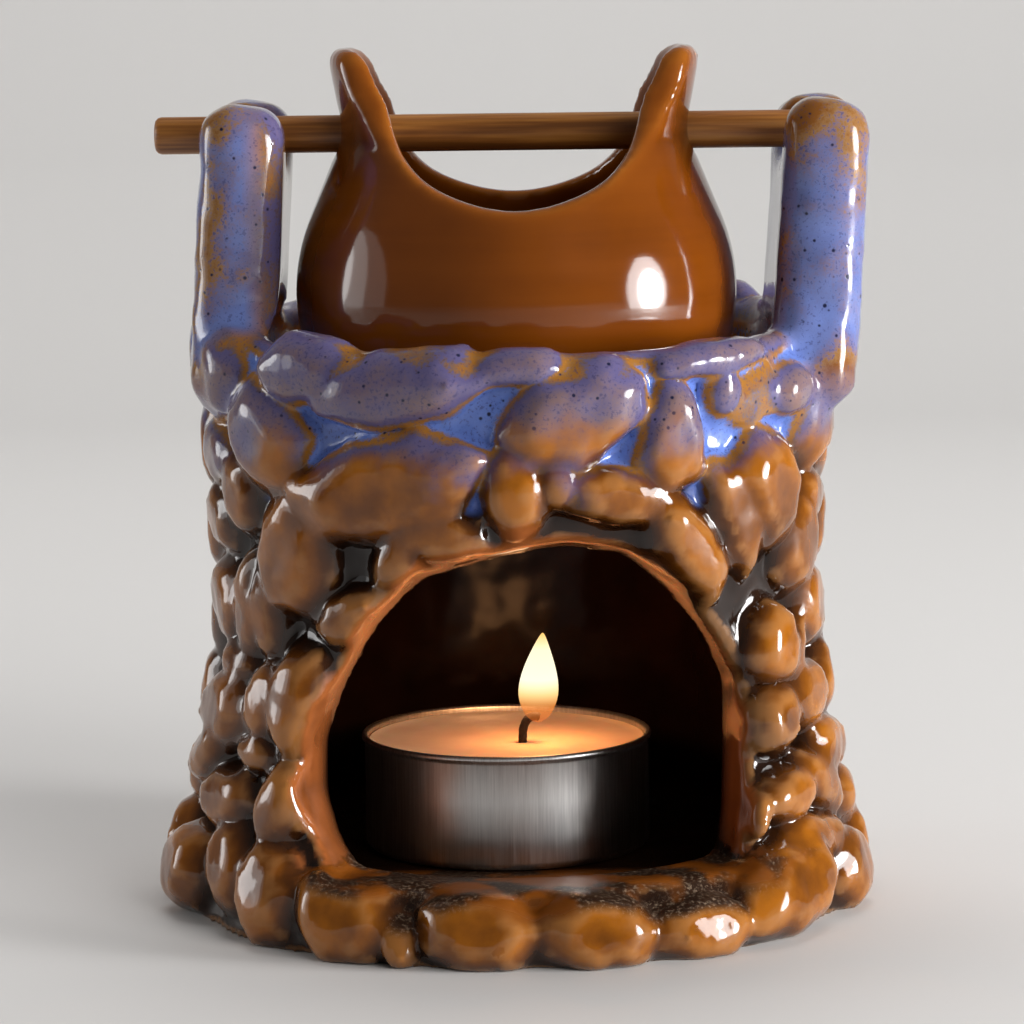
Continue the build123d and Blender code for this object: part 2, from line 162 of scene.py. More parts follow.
for name, azimuth, elevation, distance, width, height, power, mirrored in soft_lights:
    lamp = bpy.data.lights.new(name, "AREA")
    lamp.shape = "ELLIPSE" if mirrored else "RECTANGLE"
    lamp.size = width
    lamp.size_y = height
    lamp.energy = power
    lamp_object = bpy.data.objects.new(name, lamp)
    bpy.context.scene.collection.objects.link(lamp_object)
    lamp_object.visible_glossy = mirrored
    level, turn = radians(elevation), radians(azimuth)
    toward = Vector((cos(level) * sin(turn), -cos(level) * cos(turn), sin(level)))
    lamp_object.location = LAMP_AIM * MM + distance * toward
    lamp_object.rotation_euler = toward.to_track_quat("Z", "Y").to_euler()
ROOM_BRIGHTNESS = 0.14
world = bpy.data.worlds.new("studio_room")
world.use_nodes = True
room = world.node_tree.nodes["Background"]
room.inputs["Color"].default_value = linear("#E4E2E0")
room.inputs["Strength"].default_value = ROOM_BRIGHTNESS
bpy.context.scene.world = world
bpy.context.scene.view_settings.view_transform = "Standard"

# Well
# A slip-cast stoneware well with a rubble wall, an arched mouth and two forked posts,
# all one casting. It is dipped in a brown glaze, with a blue reactive glaze poured over
# its upper part, and the thick glaze rounds every edge.
WELD = 0.002
WELL_CELL = 0.82
WELL_ROUNDING = 8
WELL_GLAZE_COAT = 0.35
POST_FOOT = 78
POST_ROUNDING = 26
ROD_SEAT_HALF_WIDTH = 6.5
ROD_SEAT_FOOT = 92
CLAY_UNEVENNESS = 1.1
CLAY_LUMP = 8.0
CAVITY_RADIUS = 31.4
CAVITY_FLOOR = 6.5
CAVITY_LOW, CAVITY_HIGH = 4, 76
MOUTH_MIDDLE = (0.65, 26.0)
MOUTH_SILL = 8.6
MOUTH_FLARE = 0.4
MOUTH_DEPTH = 16.0
MOUTH_HALF_WIDTH = 16.3
MOUTH_RISE = 29.5
ARCH_POWER = 2.4
KERB_TOP = 10.5
WALL_HEIGHTS = (0, 12, 40, 75)
WALL_RADII = (42.6, 39.4, 35.6, 38.0)
STONE_PROUD = 3.8
GROOVE_REACH, GROOVE_DEPTH = 40, 0.9
EDGE_REACH, EDGE_DEPTH = 5, 0.12
POST_INNER_FACE = 31
POST_HALF_DEPTH = 18
POST_GLAZE_FOOT = 67


def finished_copy(node, name, cell, rounding, coat):
    """Copy of a CAD node's mesh, remeshed, with its edges rounded under a coat of glaze."""
    piece = bpy.data.objects.new(name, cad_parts[node].data.copy())
    piece.data.materials.clear()
    bpy.context.scene.collection.objects.link(piece)
    deselect()
    piece.select_set(True)
    bpy.context.view_layer.objects.active = piece
    bpy.ops.object.mode_set(mode="EDIT")
    bpy.ops.mesh.select_all(action="SELECT")
    bpy.ops.mesh.remove_doubles(threshold=WELD * MM)
    bpy.ops.object.mode_set(mode="OBJECT")
    apply_modifier(piece, "REMESH", mode="VOXEL", voxel_size=cell * MM, adaptivity=0)
    apply_modifier(piece, "SMOOTH", factor=0.5, iterations=rounding)
    apply_modifier(piece, "DISPLACE", mid_level=0, strength=coat * MM)
    bpy.ops.object.shade_smooth()
    place_corners(piece, corners_of(piece)[0])
    return piece


def apply_modifier(piece, kind, **settings):
    """Adds a modifier with its settings and applies it."""
    deselect()
    piece.select_set(True)
    bpy.context.view_layer.objects.active = piece
    modifier = piece.modifiers.new(kind.lower(), kind)
    for name, value in settings.items():
        setattr(modifier, name, value)
    bpy.ops.object.modifier_apply(modifier=modifier.name)


def corners_of(piece):
    """Places of a mesh's points in millimetres, and their normals."""
    places = np.empty(len(piece.data.vertices) * 3)
    piece.data.vertices.foreach_get("co", places)
    normals = np.empty(len(places))
    piece.data.vertex_normals.foreach_get("vector", normals)
    return places.reshape(-1, 3) / MM, normals.reshape(-1, 3)


def place_corners(piece, places):
    """Moves a mesh's points to places in millimetres, none outside the CAD model's box."""
    low, high = np.array(cad_box)
    inside = np.clip(places * MM, low, high)
    piece.data.vertices.foreach_set("co", inside.ravel())
    piece.data.update()


def store_share(piece, name, values):
    """Keeps one number per point of a mesh for its material to read."""
    attribute = piece.data.attributes.new(name, "FLOAT", "POINT")
    attribute.data.foreach_set("value", np.clip(values, 0, 1).astype(np.float32))


def pooling_of(piece, reach, depth):
    """Where glaze runs off and where it pools: 0 on ridges, 0.5 on flats, 1 in grooves."""
    soft = piece.copy()
    soft.data = piece.data.copy()
    bpy.context.scene.collection.objects.link(soft)
    apply_modifier(soft, "SMOOTH", factor=0.5, iterations=reach)
    places, normals = corners_of(piece)
    sunk = np.einsum("ij,ij->i", corners_of(soft)[0] - places, normals)
    bpy.data.objects.remove(soft)
    return 0.5 + 0.5 * sunk / depth


def rising(values, start, width):
    """0 up to start, 1 from start + width on, and a straight rise between."""
    return np.clip((values - start) / width, 0, 1)


def store_weights(piece, name, weights):
    """Vertex group that limits a modifier to the points with a weight."""
    group = piece.vertex_groups.new(name=name)
    for corner in np.flatnonzero(weights > 0.01):
        group.add([int(corner)], float(min(weights[corner], 1)), "REPLACE")


well = finished_copy("well_body", "glazed_well", WELL_CELL, WELL_ROUNDING, WELL_GLAZE_COAT)
places, normals = corners_of(well)
reach = np.hypot(places[:, 0], places[:, 1])
beside_rod = rising(abs(places[:, 1]), ROD_SEAT_HALF_WIDTH, 3)
below_rod = rising(ROD_SEAT_FOOT - places[:, 2], 0, 5)
clear_of_rod = np.maximum(beside_rod, below_rod)
store_weights(well, "posts", rising(places[:, 2], POST_FOOT, 6) * clear_of_rod)
apply_modifier(well, "SMOOTH", factor=0.5, iterations=POST_ROUNDING, vertex_group="posts")
store_weights(well, "outside", rising(reach - CAVITY_RADIUS, 2.5, 3) * clear_of_rod)
pressed = bpy.data.textures.new("pressed_clay", "CLOUDS")
pressed.noise_scale = CLAY_LUMP * MM
apply_modifier(
    well, "DISPLACE", texture=pressed, texture_coords="LOCAL", vertex_group="outside",
    mid_level=0.3, strength=CLAY_UNEVENNESS * MM)
places, normals = corners_of(well)
reach = np.hypot(places[:, 0], places[:, 1])
height = places[:, 2]

# The glazed floor is set back level, so that the tealight stands on it.
near_floor = (reach < CAVITY_RADIUS - 2) * (abs(height - CAVITY_FLOOR) < 1.2)
height[near_floor * (normals[:, 2] > 0.6)] = CAVITY_FLOOR
place_corners(well, places)

# Glaze pools in the grooves between the stones, and runs off their crowns and edges.
proud = reach - np.interp(height, WALL_HEIGHTS, WALL_RADII)
sunk = np.clip(1 - proud / STONE_PROUD, 0, 1)
on_wall = (reach > CAVITY_RADIUS + 2) * rising(WALL_HEIGHTS[-1] - 1 - height, 0, 4)
pooling = np.clip(pooling_of(well, GROOVE_REACH, GROOVE_DEPTH), 0, 1)
store_share(well, "pooling", pooling + 0.6 * on_wall * (sunk - pooling))
store_share(well, "edge_pooling", pooling_of(well, EDGE_REACH, EDGE_DEPTH))

# The mouth's own reveal is bare of the dark glaze, so it shows as a terracotta band.
to_middle = np.column_stack([MOUTH_MIDDLE[0] - places[:, 0], MOUTH_MIDDLE[1] - height])
to_middle /= np.linalg.norm(to_middle, axis=1)[:, None]
reveal = to_middle[:, 0] * normals[:, 0] + to_middle[:, 1] * normals[:, 2]
in_front = rising(-places[:, 1], MOUTH_DEPTH, 4)
band = rising(reveal, 0.45, 0.25) * rising(0.25 - normals[:, 1], 0, 0.3) * in_front
band *= (height > KERB_TOP) * rising(reach - CAVITY_RADIUS + 1, 0, 1.5)
opening = np.maximum(-places[:, 1], MOUTH_DEPTH) * MOUTH_FLARE
across = abs(places[:, 0] - MOUTH_MIDDLE[0]) / (MOUTH_HALF_WIDTH + opening)
up = np.clip(height - MOUTH_SILL, 0, None) / (MOUTH_RISE + opening)
from_middle = (across ** ARCH_POWER + up ** ARCH_POWER) ** (1 / ARCH_POWER)
band_limit = 1.17 - 0.12 * rising(up, 0.7, 0.15)
store_share(well, "mouth_band", band * rising(band_limit - from_middle, 0, 0.05))

# The cavity, the top of the kerb in front of it, and the posts have finishes of their own; the
# cavity's is painted shade.
cave = rising(CAVITY_RADIUS + 3 - reach, 0, 2.5)
store_share(well, "cave", cave * (height > CAVITY_LOW) * (height < CAVITY_HIGH))
kerb = rising(normals[:, 2], 0.45, 0.35) * (height < KERB_TOP) * (height > CAVITY_LOW)
store_share(well, "kerb", kerb * in_front)
on_post = rising(abs(places[:, 0]), POST_INNER_FACE, 3)
on_post *= rising(POST_HALF_DEPTH - abs(places[:, 1]), 0, 2)
store_share(well, "post_glaze", on_post * rising(height, POST_GLAZE_FOOT, 4))

# Reactive stoneware glaze, dipped and poured: glossy glass over brown. In the brown it
# pools near black in grooves and breaks to tan on ridges. Where the blue was poured it
# is cobalt in grooves, gold on the shoulders of the stones and purple on their faces.
# The sizes of its patterns are in millimetres.
DRIFT, MOTTLE, GRAIN, PINHOLE, CAVE_WAVE = 9.0, 2.4, 0.5, 1.7, 7.0
POUR_LOW, POUR_HIGH = 70, 78
POUR_WAVER = 22
POUR_IN_GROOVES = 6
COLOUR_MIX = {"output": 2, "data_type": "RGBA"}
glaze = new_material("reactive_glaze_stoneware")
place = add_node(glaze, "TexCoord", output="Object")
pooling = add_node(glaze, "Attribute", output="Fac", attribute_name="pooling")
edge_pooling = add_node(glaze, "Attribute", output="Fac", attribute_name="edge_pooling")
band = add_node(glaze, "Attribute", output="Fac", attribute_name="mouth_band")
cave = add_node(glaze, "Attribute", output="Fac", attribute_name="cave")
kerb = add_node(glaze, "Attribute", output="Fac", attribute_name="kerb")
height = add_node(glaze, "SeparateXYZ", {0: place}, output="Z")
drift = add_node(glaze, "TexNoise", {
    "Vector": place, "Scale": 1 / (DRIFT * MM), "Detail": 3.0})
mottle = add_node(glaze, "TexNoise", {
    "Vector": place, "Scale": 1 / (MOTTLE * MM), "Detail": 4.0, "Roughness": 0.6})
grain = add_node(glaze, "TexNoise", {
    "Vector": place, "Scale": 1 / (GRAIN * MM), "Detail": 2.0, "Roughness": 0.7})
drift_run = add_node(glaze, "Math", {0: drift, 1: 0.56, 2: -0.28}, operation="MULTIPLY_ADD")
mottle_run = add_node(glaze, "Math", {0: mottle, 1: 0.14, 2: -0.07}, operation="MULTIPLY_ADD")
run = add_node(glaze, "Math", {0: drift_run, 1: mottle_run}, operation="ADD")
settled = add_node(glaze, "Math", {0: pooling, 1: run}, operation="ADD")

# Brown glaze, from thin on the crowns to thick in the grooves, with tan ridges.
brown = add_node(glaze, "ValToRGB", {"Fac": settled}, stops=[
    (0.04, "#94560F"), (0.17, "#703E0B"), (0.30, "#502A09"), (0.50, "#301808"),
    (0.76, "#180B05")])
ridge = add_node(
    glaze, "MapRange", {0: edge_pooling, 1: 0.34, 2: 0.10}, interpolation_type="SMOOTHSTEP")
ridge = add_node(glaze, "Math", {0: ridge, 1: 0.45}, operation="MULTIPLY")
brown = add_node(glaze, "Mix", {0: ridge, 6: brown, 7: linear("#9A6C40")}, **COLOUR_MIX)

# Poured blue glaze, with its lower edge wavering and running down the grooves.
film = add_node(glaze, "Math", {0: grain, 1: 0.26, 2: -0.13}, operation="MULTIPLY_ADD")
film = add_node(glaze, "Math", {0: settled, 1: film}, operation="ADD")
blue = add_node(glaze, "ValToRGB", {"Fac": film}, stops=[
    (0.02, "#745E60"), (0.12, "#6A5A6A"), (0.22, "#5C5476"), (0.29, "#565078"),
    (0.35, "#6C564E"), (0.43, "#925F22"), (0.53, "#8A6236"), (0.60, "#6A709E"),
    (0.66, "#6079BE"), (0.98, "#4A60A8")])
post_blue = add_node(glaze, "ValToRGB", {"Fac": film}, stops=[
    (0.14, "#7A4A1C"), (0.25, "#8E6840"), (0.32, "#6C6484"), (0.42, "#6470A4"),
    (0.56, "#6A7CB8"), (0.9, "#4A60A8")])
on_posts = add_node(glaze, "Attribute", output="Fac", attribute_name="post_glaze")
blue = add_node(glaze, "Mix", {0: on_posts, 6: blue, 7: post_blue}, **COLOUR_MIX)
run_down = add_node(
    glaze, "Math", {0: drift, 1: POUR_WAVER * MM, 2: height}, operation="MULTIPLY_ADD")
run_down = add_node(
    glaze, "Math", {0: pooling, 1: POUR_IN_GROOVES * MM, 2: run_down}, operation="MULTIPLY_ADD")
poured = add_node(
    glaze, "MapRange", {0: run_down, 1: POUR_LOW * MM, 2: POUR_HIGH * MM},
    interpolation_type="SMOOTHSTEP")
colour = add_node(glaze, "Mix", {0: poured, 6: brown, 7: blue}, **COLOUR_MIX)

# Pinholes in the blue, the bare reveal, near-black painted shade in the cavity, freckles, and a
# rubbed kerb.
pits = add_node(glaze, "TexVoronoi", {"Vector": place, "Scale": 1 / (PINHOLE * MM)})
pits = add_node(glaze, "Math", {0: mottle, 1: 0.35, 2: pits}, operation="MULTIPLY_ADD")
pits = add_node(glaze, "MapRange", {0: pits, 1: 0.34, 2: 0.22}, interpolation_type="SMOOTHSTEP")
pits = add_node(glaze, "Math", {0: pits, 1: poured}, operation="MULTIPLY")
colour = add_node(glaze, "Mix", {0: pits, 6: colour, 7: linear("#1A1D38")}, **COLOUR_MIX)
terracotta = add_node(glaze, "ValToRGB", {"Fac": edge_pooling}, stops=[
    (0.25, "#8E5028"), (0.55, "#74401E"), (0.95, "#3E1E0C")])
colour = add_node(glaze, "Mix", {0: band, 6: colour, 7: terracotta}, **COLOUR_MIX)
# Painted shade: the whole cavity is coloured near-black, varied by the drift noise.
soot_and_painted_shade = add_node(glaze, "ValToRGB", {"Fac": drift}, stops=[(0.3, "#120804"), (0.7, "#1F0F07")])
colour = add_node(glaze, "Mix", {0: cave, 6: colour, 7: soot_and_painted_shade}, **COLOUR_MIX)
freckles = add_node(
    glaze, "MapRange", {0: grain, 1: 0.56, 2: 0.66}, interpolation_type="SMOOTHSTEP")
freckles = add_node(glaze, "Math", {0: freckles, 1: poured}, operation="MULTIPLY")
freckles = add_node(glaze, "Math", {0: freckles, 1: 0.5}, operation="MULTIPLY")
colour = add_node(glaze, "Mix", {0: freckles, 6: colour, 7: linear("#3A3354")}, **COLOUR_MIX)
specks = add_node(glaze, "ValToRGB", {"Fac": grain}, stops=[(0.52, "#2A1A10"), (0.70, "#7A6856")])
rubbed = add_node(
    glaze, "MapRange", {0: drift, 1: 0.44, 2: 0.56}, interpolation_type="SMOOTHSTEP")
specks = add_node(glaze, "Mix", {0: rubbed, 6: specks, 7: linear("#7A4210")}, **COLOUR_MIX)
colour = add_node(glaze, "Mix", {0: kerb, 6: colour, 7: specks}, **COLOUR_MIX)

# Glass-smooth glaze, rougher on the kerb and dull in the cavity and the deepest grooves.
dimple = add_node(glaze, "Math", {0: pits, 1: -0.4, 2: drift}, operation="MULTIPLY_ADD")
dimple = add_node(glaze, "Bump", {"Height": dimple, "Strength": 0.12, "Distance": 0.5 * MM})
waves = add_node(glaze, "TexNoise", {
    "Vector": place, "Scale": 1 / (CAVE_WAVE * MM), "Detail": 1.0})
uneven = add_node(glaze, "Bump", {
    "Height": waves, "Strength": cave, "Distance": 0.5 * MM, "Normal": dimple})
gloss = add_node(glaze, "MapRange", {0: kerb, 3: 0.08, 4: 0.34})
gloss = add_node(glaze, "Math", {0: cave, 1: 0.12, 2: gloss}, operation="MULTIPLY_ADD")
shine = add_node(glaze, "MapRange", {0: cave, 3: 0.5, 4: 0.08})
pooled = add_node(glaze, "MapRange", {0: pooling, 1: 0.7, 2: 0.95, 3: 1.0, 4: 0.4})
shine = add_node(glaze, "Math", {0: shine, 1: pooled}, operation="MULTIPLY")
glaze_coat = add_node(glaze, "BsdfPrincipled", {
    "Base Color": colour, "Roughness": gloss, "IOR": 1.5, "Specular IOR Level": shine,
    "Normal": uneven})
add_node(glaze, "OutputMaterial", {"Surface": glaze_coat})
well.data.materials.append(glaze)
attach(well, "well")
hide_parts("well_body")

# Pot
# A slip-cast stoneware pot with two ears, pierced for the rod, dipped in an amber glaze
# that runs thin on its edges and pools darker in its hollow and round its foot.
POT_CELL = 0.5
POT_ROUNDING = 14
POT_GLAZE_COAT = 0.25
EAR_TIP_HEIGHT = 105.5
EAR_TIP_ROUNDING = 24
POT_REACH, POT_DEPTH = 20, 0.35
pot = finished_copy("oil_pot", "glazed_pot", POT_CELL, POT_ROUNDING, POT_GLAZE_COAT)
store_weights(pot, "ear_tips", (corners_of(pot)[0][:, 2] - EAR_TIP_HEIGHT) / 2.5)
apply_modifier(pot, "SMOOTH", factor=0.5, iterations=EAR_TIP_ROUNDING, vertex_group="ear_tips")
store_share(pot, "pooling", pooling_of(pot, POT_REACH, POT_DEPTH))

# Amber glaze: clear iron glass over a buff body, with the faint rings of the turned model
# that the mould was made from.
amber = new_material("amber_glaze_stoneware")
place = add_node(amber, "TexCoord", output="Object")
pooling = add_node(amber, "Attribute", output="Fac", attribute_name="pooling")
drift = add_node(amber, "TexNoise", {"Vector": place, "Scale": 1 / (16 * MM), "Detail": 3.0})
ring_place = add_node(amber, "Mapping", {"Vector": place, "Scale": (0.06, 0.06, 1.0)})
rings = add_node(amber, "TexNoise", {"Vector": ring_place, "Scale": 1 / (2.2 * MM), "Detail": 3.0})
depth = add_node(amber, "Math", {0: rings, 1: 0.16, 2: pooling}, operation="MULTIPLY_ADD")
depth = add_node(amber, "Math", {0: drift, 1: 0.30, 2: depth}, operation="MULTIPLY_ADD")
amber_colour = add_node(amber, "ValToRGB", {"Fac": depth}, stops=[
    (0.30, "#92561A"), (0.56, "#783E0C"), (0.72, "#6A3406"), (0.86, "#562804"),
    (1.0, "#2E1606")])
ripple = add_node(amber, "Bump", {"Height": rings, "Strength": 0.06, "Distance": 0.4 * MM})
amber_coat = add_node(amber, "BsdfPrincipled", {
    "Base Color": amber_colour, "Roughness": 0.09, "IOR": 1.5, "Normal": ripple})
add_node(amber, "OutputMaterial", {"Surface": amber_coat})
pot.data.materials.append(amber)
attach(pot, "pot")
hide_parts("oil_pot")


# Rod
# A turned dowel of stained wood with softly rounded ends. It lies loose in the forks and
# passes through the ears of the pot.
def turned_piece(name, centre, sides, profile):
    """Piece turned about an upright axis: a filled ring, drawn out ring by ring."""
    deselect()
    low_radius, low_height = profile[0]
    low_centre = (centre[0] * MM, centre[1] * MM, low_height * MM)
    bpy.ops.mesh.primitive_circle_add(
        vertices=sides, radius=low_radius * MM, fill_type="NGON", location=low_centre)
    piece = bpy.context.object
    piece.name = name
    bpy.ops.object.transform_apply(location=True, rotation=False, scale=False)
    bpy.ops.object.mode_set(mode="EDIT")
    bpy.ops.mesh.select_all(action="SELECT")
    for (last_radius, last_height), (radius, height) in zip(profile, profile[1:]):
        rise = (height - last_height) * MM
        bpy.ops.mesh.extrude_region_move(TRANSFORM_OT_translate={"value": (0, 0, rise)})
        bpy.ops.transform.resize(
            value=(radius / last_radius, radius / last_radius, 1),
            center_override=(centre[0] * MM, centre[1] * MM, height * MM))
    bpy.ops.mesh.select_all(action="SELECT")
    bpy.ops.mesh.normals_make_consistent(inside=False)
    bpy.ops.object.mode_set(mode="OBJECT")
    return piece


ROD_RADIUS = 2.4
ROD_END_ROUND = 0.9
ROD_HEIGHT = 100.0
rod_low, rod_high = (corner[0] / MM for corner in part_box("hanging_rod"))
rod_profile = [(ROD_RADIUS - ROD_END_ROUND, rod_low)]
for turn in (30, 60, 90):
    rounding = ROD_END_ROUND * (1 - cos(radians(turn)))
    rod_profile.append((ROD_RADIUS - ROD_END_ROUND * (1 - sin(radians(turn))), rod_low + rounding))
rod_profile += [(radius, rod_low + rod_high - height) for radius, height in reversed(rod_profile)]
rod = turned_piece("wooden_rod", (0, 0), 64, rod_profile)
laid_across = Matrix.Rotation(radians(90), 4, "Y")
rod.data.transform(Matrix.Translation((0, 0, ROD_HEIGHT * MM)) @ laid_across)
bpy.ops.object.shade_smooth_by_angle(angle=radians(40))

# Stained beech: straight fine pores along the rod, in a satin oil.
beech = new_material("stained_wood")
place = add_node(beech, "TexCoord", output="Object")
along = add_node(beech, "Mapping", {"Vector": place, "Scale": (0.04, 1.0, 1.0)})
pores = add_node(beech, "TexNoise", {
    "Vector": along, "Scale": 1 / (0.45 * MM), "Detail": 3.0, "Roughness": 0.6})
streaks = add_node(beech, "TexNoise", {"Vector": along, "Scale": 1 / (1.8 * MM), "Detail": 2.0})
fibre = add_node(beech, "Math", {0: pores, 1: 0.5, 2: streaks}, operation="MULTIPLY_ADD")
wood_colour = add_node(beech, "ValToRGB", {"Fac": fibre}, stops=[
    (0.55, "#6A3E18"), (0.72, "#865222"), (0.92, "#A26C30")])
wood_bump = add_node(beech, "Bump", {"Height": pores, "Strength": 0.25, "Distance": 0.1 * MM})
wood_coat = add_node(beech, "BsdfPrincipled", {
    "Base Color": wood_colour, "Roughness": 0.42, "IOR": 1.5, "Normal": wood_bump})
add_node(beech, "OutputMaterial", {"Surface": wood_coat})
rod.data.materials.append(beech)
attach(rod, "rod")
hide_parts("hanging_rod")

# Tealight cup
# A thin aluminium cup pressed from foil, with a rolled bead round its rim and a small
# curve at its foot. The drawing leaves fine upright marks on its side.
CUP_CENTRE = (-1.6, 0)
CUP_BOTTOM = 6.6
CUP_RADIUS = 18.7
CUP_HEIGHT = 15.0
CUP_WALL = 0.4
CUP_FOOT_ROUND = 1.1
BEAD_RADIUS = 0.42
cup_profile = [(6.0, 0.5), (6.4, 0.1), (12.0, 0.1), (CUP_RADIUS - CUP_FOOT_ROUND, 0)]
cup_profile += [
    (CUP_RADIUS - CUP_FOOT_ROUND * (1 - sin(radians(turn))),
     CUP_FOOT_ROUND * (1 - cos(radians(turn))))
    for turn in (30, 60, 90)
]
cup_profile += [(CUP_RADIUS - 0.05, CUP_HEIGHT * share) for share in (0.3, 0.6, 0.92)]
bead_middle = (CUP_RADIUS - 0.05, CUP_HEIGHT - 0.45)
cup_profile += [
    (bead_middle[0] + BEAD_RADIUS * cos(radians(turn)),
     bead_middle[1] + BEAD_RADIUS * sin(radians(turn)))
    for turn in (-70, -35, 0, 35, 70, 105, 140, 180)
]
cup_profile += [(CUP_RADIUS - CUP_WALL, CUP_HEIGHT * share) for share in (0.92, 0.5, 0.12)]
cup_profile += [(CUP_RADIUS - CUP_FOOT_ROUND - CUP_WALL, CUP_WALL), (6.0, 0.9)]
cup = turned_piece("foil_cup", CUP_CENTRE, 144, [
    (radius, CUP_BOTTOM + rise) for radius, rise in cup_profile])
bpy.ops.object.shade_smooth_by_angle(angle=radians(50))

# Drawn aluminium: bright metal, satin from fine upright draw marks.
foil = new_material("aluminium_foil")
place = add_node(foil, "TexCoord", output="Object")
upright = add_node(foil, "Mapping", {"Vector": place, "Scale": (1.0, 1.0, 0.03)})
marks = add_node(foil, "TexNoise", {
    "Vector": upright, "Scale": 1 / (0.35 * MM), "Detail": 3.0, "Roughness": 0.7})
foil_colour = add_node(foil, "ValToRGB", {"Fac": marks}, stops=[
    (0.3, "#D2D0CE"), (0.7, "#F0EEEC")])
foil_gloss = add_node(foil, "MapRange", {0: marks, 1: 0.3, 2: 0.7, 3: 0.31, 4: 0.41})
foil_bump = add_node(foil, "Bump", {"Height": marks, "Strength": 0.10, "Distance": 0.05 * MM})
foil_coat = add_node(foil, "BsdfPrincipled", {
    "Base Color": foil_colour, "Metallic": 1.0, "Roughness": foil_gloss, "Normal": foil_bump})
add_node(foil, "OutputMaterial", {"Surface": foil_coat})
cup.data.materials.append(foil)
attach(cup, "tealight")
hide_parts("tealight_cup")

# Wax
# Paraffin wax poured into the cup round the wick. It has melted to a shallow pool with a
# low rim where it still clings to the cool aluminium.
WAX_TOP = 14.1
WAX_RADIUS = 18.15
POOL_TOP = WAX_TOP - 0.36
wax_profile = [
    (17.3, 0.5), (WAX_RADIUS, 1.4), (WAX_RADIUS, 7.0), (WAX_RADIUS, WAX_TOP - 0.1),
    (WAX_RADIUS - 0.15, WAX_TOP), (WAX_RADIUS - 0.6, WAX_TOP - 0.15),
    (WAX_RADIUS - 1.5, WAX_TOP - 0.3), (14.0, POOL_TOP), (9.0, POOL_TOP), (4.0, POOL_TOP),
    (1.0, POOL_TOP)]
wax = turned_piece("poured_wax", CUP_CENTRE, 96, [
    (radius, CUP_BOTTOM + rise) for radius, rise in wax_profile])
bpy.ops.object.shade_smooth_by_angle(angle=radians(50))

# Paraffin wax: cream and slightly translucent, with the soft gloss of a molten pool.
paraffin = new_material("candle_wax")
place = add_node(paraffin, "TexCoord", output="Object")
cloud = add_node(paraffin, "TexNoise", {"Vector": place, "Scale": 1 / (5.0 * MM), "Detail": 3.0})
wax_colour = add_node(paraffin, "ValToRGB", {"Fac": cloud}, stops=[
    (0.3, "#E8BE98"), (0.7, "#F2CDA8")])
wax_coat = add_node(paraffin, "BsdfPrincipled", {
    "Base Color": wax_colour, "Roughness": 0.28, "IOR": 1.44, "Subsurface Weight": 0.35,
    "Subsurface Radius": (1.0, 0.45, 0.2), "Subsurface Scale": 4 * MM})
add_node(paraffin, "OutputMaterial", {"Surface": wax_coat})
wax.data.materials.append(paraffin)
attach(wax, "tealight")
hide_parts("tealight_wax")

# Wick
# A braided cotton cord that burns with a bent, charred tip. It is crimped in the wick
# holder at its foot and stands in the molten wax.
WICK_PLACE = (0.5, -2.6)
WICK_RADIUS = 0.6
WICK_ROUTE = [  # across and up
    (0, 7.3), (0, 14.0), (0, 21.2), (0.15, 22.6), (0.75, 23.6), (1.75, 23.85), (2.3, 23.7)]
WICK_CELL = 0.16
BRAID = 0.7
BRAID_DEPTH = 0.16
wick_curve = bpy.data.curves.new("burnt_wick", "CURVE")
wick_curve.dimensions = "3D"
wick_curve.bevel_depth = WICK_RADIUS * MM
wick_curve.bevel_resolution = 5
wick_curve.use_fill_caps = True
wick_curve.resolution_u = 12
spline = wick_curve.splines.new("NURBS")
spline.points.add(len(WICK_ROUTE) - 1)
for point, (across, up) in zip(spline.points, WICK_ROUTE):
    point.co = ((WICK_PLACE[0] + across) * MM, WICK_PLACE[1] * MM, up * MM, 1)
spline.order_u = 3
spline.use_endpoint_u = True
wick = bpy.data.objects.new("burnt_wick", wick_curve)
bpy.context.scene.collection.objects.link(wick)
deselect()
wick.select_set(True)
bpy.context.view_layer.objects.active = wick
bpy.ops.object.convert(target="MESH")
wick = bpy.context.object
apply_modifier(wick, "REMESH", mode="VOXEL", voxel_size=WICK_CELL * MM, adaptivity=0)
braid = bpy.data.textures.new("cotton_braid", "CLOUDS")
braid.noise_scale = BRAID * MM
apply_modifier(wick, "DISPLACE", texture=braid, strength=BRAID_DEPTH * MM, mid_level=0.65)
bpy.ops.object.shade_smooth()

# Charred cotton: matt black soot with dull brown patches.
char = new_material("charred_cotton")
place = add_node(char, "TexCoord", output="Object")
soot_and_painted_shade = add_node(char, "TexNoise", {"Vector": place, "Scale": 1 / (0.4 * MM), "Detail": 3.0})
char_colour = add_node(char, "ValToRGB", {"Fac": soot_and_painted_shade}, stops=[
    (0.35, "#0C0908"), (0.75, "#2E211A")])
char_bump = add_node(char, "Bump", {"Height": soot_and_painted_shade, "Strength": 0.5, "Distance": 0.1 * MM})
char_coat = add_node(char, "BsdfPrincipled", {
    "Base Color": char_colour, "Roughness": 0.8, "Normal": char_bump})
add_node(char, "OutputMaterial", {"Surface": char_coat})
wick.data.materials.append(char)
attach(wick, "tealight")
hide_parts("tealight_wick")

